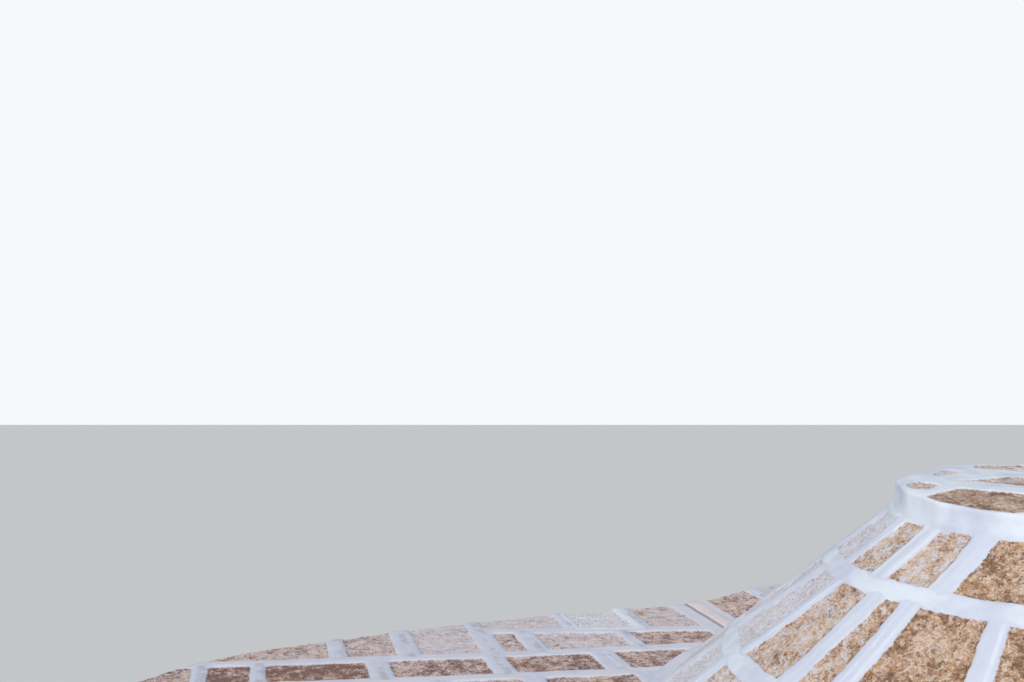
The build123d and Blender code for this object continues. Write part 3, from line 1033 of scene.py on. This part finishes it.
def roof_finish():
    """Slabs and lime in one finish: stone, darker along its edges, under the joints' white
    and a flecked wash."""
    f = Finish("roof_slabs_and_lime")
    names = ("edge", "tone", "ridge", "crack", "rose")
    edge, tone, ridge, crack, rose = (f.value(name) for name in names)
    stone, pits, grains = stone_colour(f, tone, rose)
    joints, wash, frayed = lime_cover(f, edge, tone, rose)
    # Stone darkened in a soft band just inside the lime's frayed edge, broken by noise.
    edge_darkening = f.times(f.ramp(f.math("ABSOLUTE", f.minus(frayed, 0.006)), 0.007, 0.0),
                   f.ramp(f.noise(40.0, 3.0), 0.48, 0.60))
    stone = f.mix(f.times(edge_darkening, 0.6), stone, UMBER)
    white = lime_white(f, tone, ridge, crack, rose)
    washed = f.times(wash, f.minus(1.0, joints))
    white = f.mix(f.times(washed, 0.5), white, WASHED)
    flecks = f.times(washed, f.ramp(f.noise(62.0, 3.0, 0.7), 0.53, 0.62, 0.0, 0.70))
    white = f.mix(flecks, white, TRODDEN)
    cover = f.math("MAXIMUM", joints, wash, clamp=True)
    stone_height = f.minus(f.times(grains, 0.5), f.times(pits, 0.9))
    lime_height = f.times(f.noise(30.0, 4.0, 0.55), 0.5)
    f.bump(f.blend(cover, stone_height, lime_height), 0.005, 0.8)
    return f.coat(f.mix(cover, stone, white), 0.92, 0.25)


def limewash_finish(name):
    """Thick limewash: uneven white, greyer where worn, dust and painted shade in the hollows
    between stones, and splashed near the ground."""
    f = Finish(name)
    worn = f.ramp(f.noise(2.0, 6.0, 0.68), 0.45, 0.75)
    white = f.mix(f.times(worn, 0.5), WALL_WHITE, WALL_WORN)
    # Dust and painted shade in the hollows between the wall's stones.
    dust_and_shade = f.times(f.value("hollow"), f.ramp(f.noise(5.0, 4.0, 0.6), 0.35, 0.65, 0.04, 0.38))
    white = f.mix(dust_and_shade, white, WALL_DUST_AND_SHADE)
    level = f.node("SeparateXYZ", "Z", vector=f.place)
    level = f.plus(level, f.times(f.noise(6.0, 4.0, 0.6), 0.35))
    splash = f.times(f.ramp(level, 0.55, 0.12), 0.55)
    stones = f.ramp(f.cells(5.5, "SMOOTH_F1"), 0.0, 0.6)
    f.bump(f.plus(f.times(f.noise(24.0, 5.0, 0.6), 0.5), stones), 0.010, 0.6)
    return f.coat(f.mix(splash, white, WALL_SPLASH), 0.94, 0.2)


def stone_finish(name, tone):
    """Bare limestone of the frame and floors, with lime in the joints."""
    f = Finish(name)
    stone, pits, _ = stone_colour(f, tone, 0.3)
    f.bump(f.minus(f.times(f.noise(12.0, 4.0, 0.6), 0.8), f.times(pits, 0.6)), 0.006, 0.7)
    return f.coat(f.mix(f.value("mortar"), stone, MORTAR), 0.85)


# Studio

def floor():
    """Plain pale floor."""
    reach = 60
    corners = [(reach * x, reach * y, 0) for x, y in ((-1, -1), (1, -1), (1, 1), (-1, 1))]
    mesh = bpy.data.meshes.new("floor")
    mesh.from_pydata(corners, [], [(0, 1, 2, 3)])
    mesh.materials.append(Finish("studio_floor").coat((0.74, 0.74, 0.74, 1), 0.9))
    ground = bpy.data.objects.new("floor", mesh)
    bpy.context.collection.objects.link(ground)


def sky():
    """Soft pale light from all round, which the camera sees as a white backdrop."""
    world = bpy.data.worlds.new("studio")
    bpy.context.scene.world = world
    world.use_nodes = True
    nodes, links = world.node_tree.nodes, world.node_tree.links
    light = nodes["Background"]
    shown = nodes.new("ShaderNodeBackground")
    for side, shade, strength in ((light, (0.90, 0.95, 1.0, 1), 0.52),
                                  (shown, (0.93, 0.94, 0.96, 1), 1.0)):
        side.inputs["Color"].default_value = shade
        side.inputs["Strength"].default_value = strength
    rays = nodes.new("ShaderNodeLightPath")
    either = nodes.new("ShaderNodeMixShader")
    links.new(rays.outputs["Is Camera Ray"], either.inputs[0])
    links.new(light.outputs[0], either.inputs[1])
    links.new(shown.outputs[0], either.inputs[2])
    links.new(either.outputs[0], nodes["World Output"].inputs[0])


def lamp():
    """One broad sun from the left, behind the camera."""
    sun = bpy.data.lights.new("sun", "SUN")
    sun.energy = 1.75
    sun.angle = radians(14)
    sun.color = (1.0, 0.98, 0.95)
    hung = bpy.data.objects.new("sun", sun)
    hung.rotation_euler = (radians(61), 0, radians(-26))
    bpy.context.collection.objects.link(hung)


# Making

camera()
ROOF = roof_finish()
LIMEWASH = limewash_finish("limewash")
DOME = limewash_finish("dome_stone")
FRAME_STONE = stone_finish("frame_stone", 1.0)
FLOOR_STONE = stone_finish("floor_stone", 0.9)

finishes = {"roof_slabs": ROOF, "limewash": LIMEWASH, "dome_stone": DOME,
            "frame_stone": FRAME_STONE, "floor_slabs": FLOOR_STONE}
for part in frame["record"]["subparts"]:
    node = frame["nodes"][part["node"]]
    node.data.materials.clear()
    node.data.materials.append(finishes[part["material_slot"]])

UPPER_JOINTS = joints_round(
    [(182.6, 178.3, 0.075, 0.55, -0.030), (201.3, 196.2, 0.088, 0.50, 0.030),
     (222.1, 215.7, 0.095, 0.05, -0.005), (247.0, 244.0, 0.085, 0.30, 0.010)],
    pitch=19, seed=11, tone_before=1.0)
MIDDLE_JOINTS = joints_round(
    [(169.0, 160.0, 0.090, 0.95, 0.010), (183.9, 178.1, 0.080, 0.50, 0.016),
     (200.6, 196.2, 0.092, 0.40, -0.010), (210.7, 206.5, 0.092, 0.10, 0.024),
     (231.0, 228.0, 0.080, 0.05, 0.020), (248.0, 245.5, 0.080, 0.30, 0.000)],
    pitch=17, seed=12, tone_before=1.0)
LOWER_JOINTS = joints_round(
    [(162.0, 159.0, 0.090, 0.98, 0.000), (175.0, 171.0, 0.110, 0.65, 0.020),
     (190.0, 187.0, 0.090, 0.40, 0.010), (203.0, 200.0, 0.090, 0.20, 0.020)],
    pitch=14, seed=13, tone_before=0.94)
LEDGE_JOINTS = joints_round(
    [(105.6, 105.9, 0.085, 0.45, 0.0), (122.0, 122.0, 0.085, 0.50, 0.0)],
    pitch=11.5, seed=52, tone_before=0.92)

(upper_foot, middle_head), (middle_foot, lower_head) = RING_JOINTS
first_ring, second_ring = (sum(ring) / 2 for ring in RING_JOINTS)
upper = cone_course("cone_upper_slabs", (CAP_R, first_ring), (SLAB_HEADS_R, upper_foot),
                    UPPER_JOINTS, columns=520, rows=44, finish=ROOF)
middle = cone_course("cone_middle_slabs", (first_ring, second_ring), (middle_head, middle_foot),
                     MIDDLE_JOINTS, columns=860, rows=76, finish=ROOF)
lower = cone_course("cone_lower_slabs", (second_ring, CONE_R + 0.03), (lower_head, CONE_R + 0.2),
                    LOWER_JOINTS, columns=1000, rows=56, finish=ROOF)
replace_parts(upper, "cone_course_upper")
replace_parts(middle, "cone_course_middle", "cone_joint_upper")
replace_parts(lower, "cone_course_lower", "cone_joint_lower")

top = cap(ROOF)
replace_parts(top, "cap_slab", "cap_drum", "cap_collar")

deck = roof_part("apse_deck_slabs", KINK, 360 - KINK, columns=520, rows=170, finish=ROOF)
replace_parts(deck, "apse_deck")
shelf = roof_part("ledge_slabs", -KINK, KINK, columns=900, rows=60, finish=ROOF,
                  joints=LEDGE_JOINTS)
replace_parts(shelf, "ledge_far", "ledge_near")

wall_coat(LIMEWASH)
jamb("jamb_blocks_left", "door_jamb_left", FRAME_STONE, seed=101)
jamb("jamb_blocks_right", "door_jamb_right", FRAME_STONE, seed=131)
for name, node, seed in (("lintel_block", "door_lintel", 161), ("sill_block", "door_sill", 171)):
    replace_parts(blocks(name, [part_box(node)], FRAME_STONE, seed=seed), node)
room_rim = in_plan(ROOM_R, np.radians(np.arange(360)))
flags("cell_flags", "cell_floor", room_rim, FLOOR_STONE, seed=201)
dome_lining(DOME)

floor()
sky()
lamp()
bpy.context.scene.view_settings.view_transform = "Standard"
